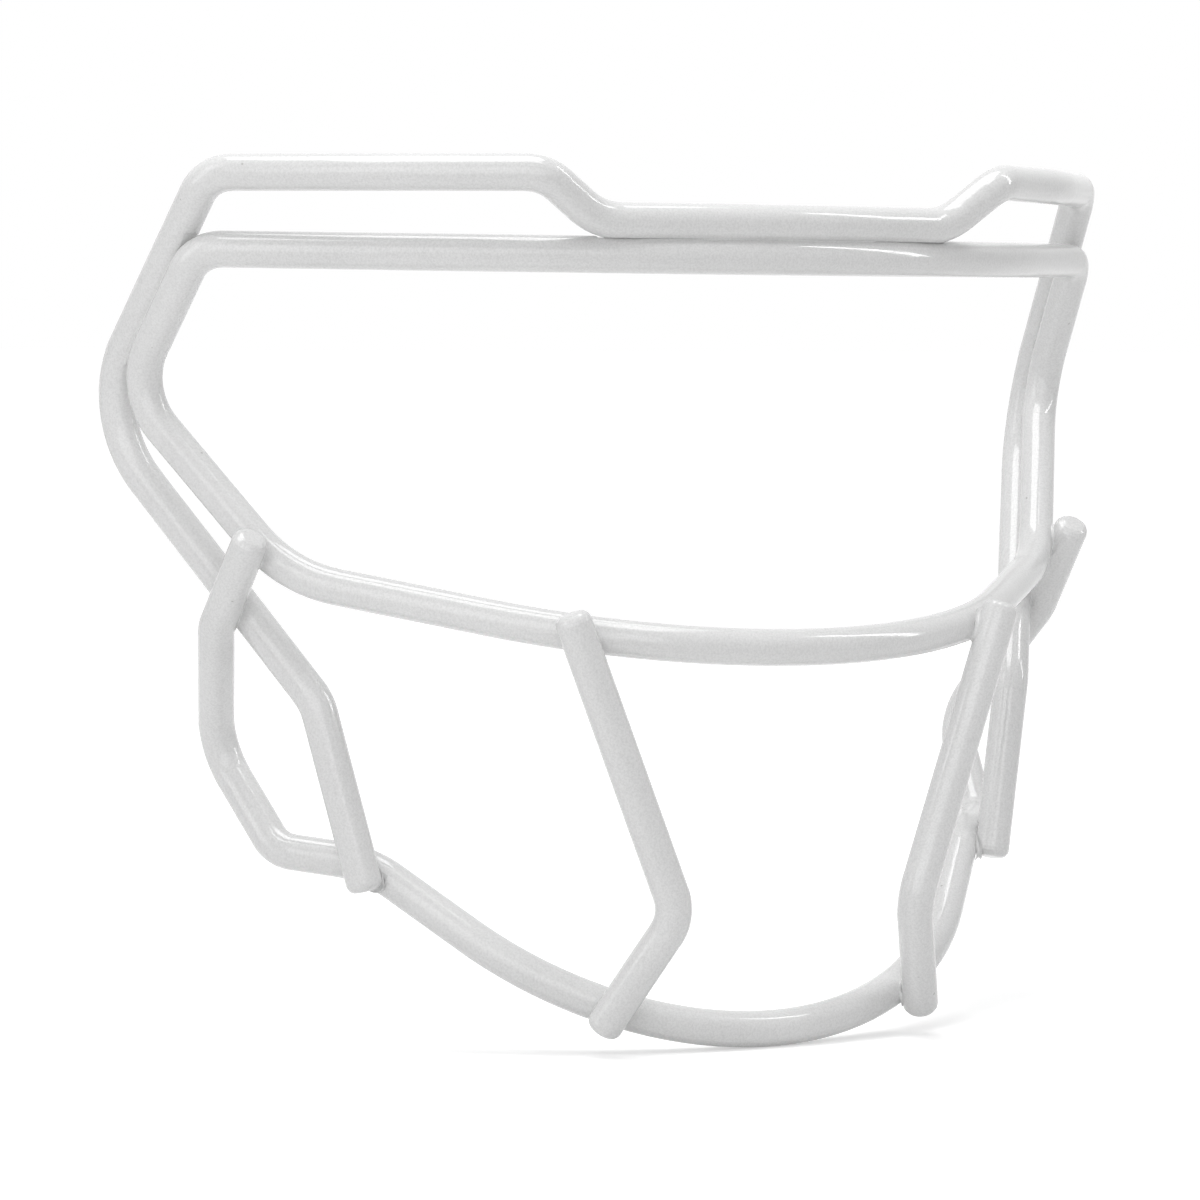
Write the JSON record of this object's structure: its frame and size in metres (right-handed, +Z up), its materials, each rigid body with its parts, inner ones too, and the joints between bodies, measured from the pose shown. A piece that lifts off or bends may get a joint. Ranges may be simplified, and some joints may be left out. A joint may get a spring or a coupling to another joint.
{
  "type": "football helmet facemask",
  "caption": "Welded wire face guard for an American football helmet: coated steel bars frame a wide eye opening over an open jaw cage.",
  "frame": {"origin": "middle of the part's bounding box at its lowest point, on the mirror plane", "axes": "+X to the wearer's left, -Y to the front of the face, +Z up, with the brow bar level"},
  "size_m": [0.2246, 0.0945, 0.1747],
  "materials": {
    "steel": "drawn round bar, bare under the coating",
    "coating": "white dip coating, smooth satin gloss",
    "weld": "weld metal, hidden under the coating"
  },
  "bodies": {
    "root": {"outer_bar_steel": "steel", "vision_loop_steel": "steel", "jaw_bar_steel": "steel", "chin_vertical_steel_left": "steel", "chin_vertical_steel_right": "steel", "outer_bar_coating": "coating", "vision_loop_coating": "coating", "jaw_bar_coating": "coating", "chin_vertical_coating_left": "coating", "chin_vertical_coating_right": "coating", "brow_weld": "weld", "temple_weld_left": "weld", "temple_weld_right": "weld", "jaw_end_weld_left": "weld", "jaw_end_weld_right": "weld", "jaw_crossing_weld_left": "weld", "jaw_crossing_weld_right": "weld", "outer_end_weld_left": "weld", "outer_end_weld_right": "weld", "vertical_top_weld_left": "weld", "vertical_top_weld_right": "weld", "vertical_foot_weld_left": "weld", "vertical_foot_weld_right": "weld"}
  },
  "joints": []
}
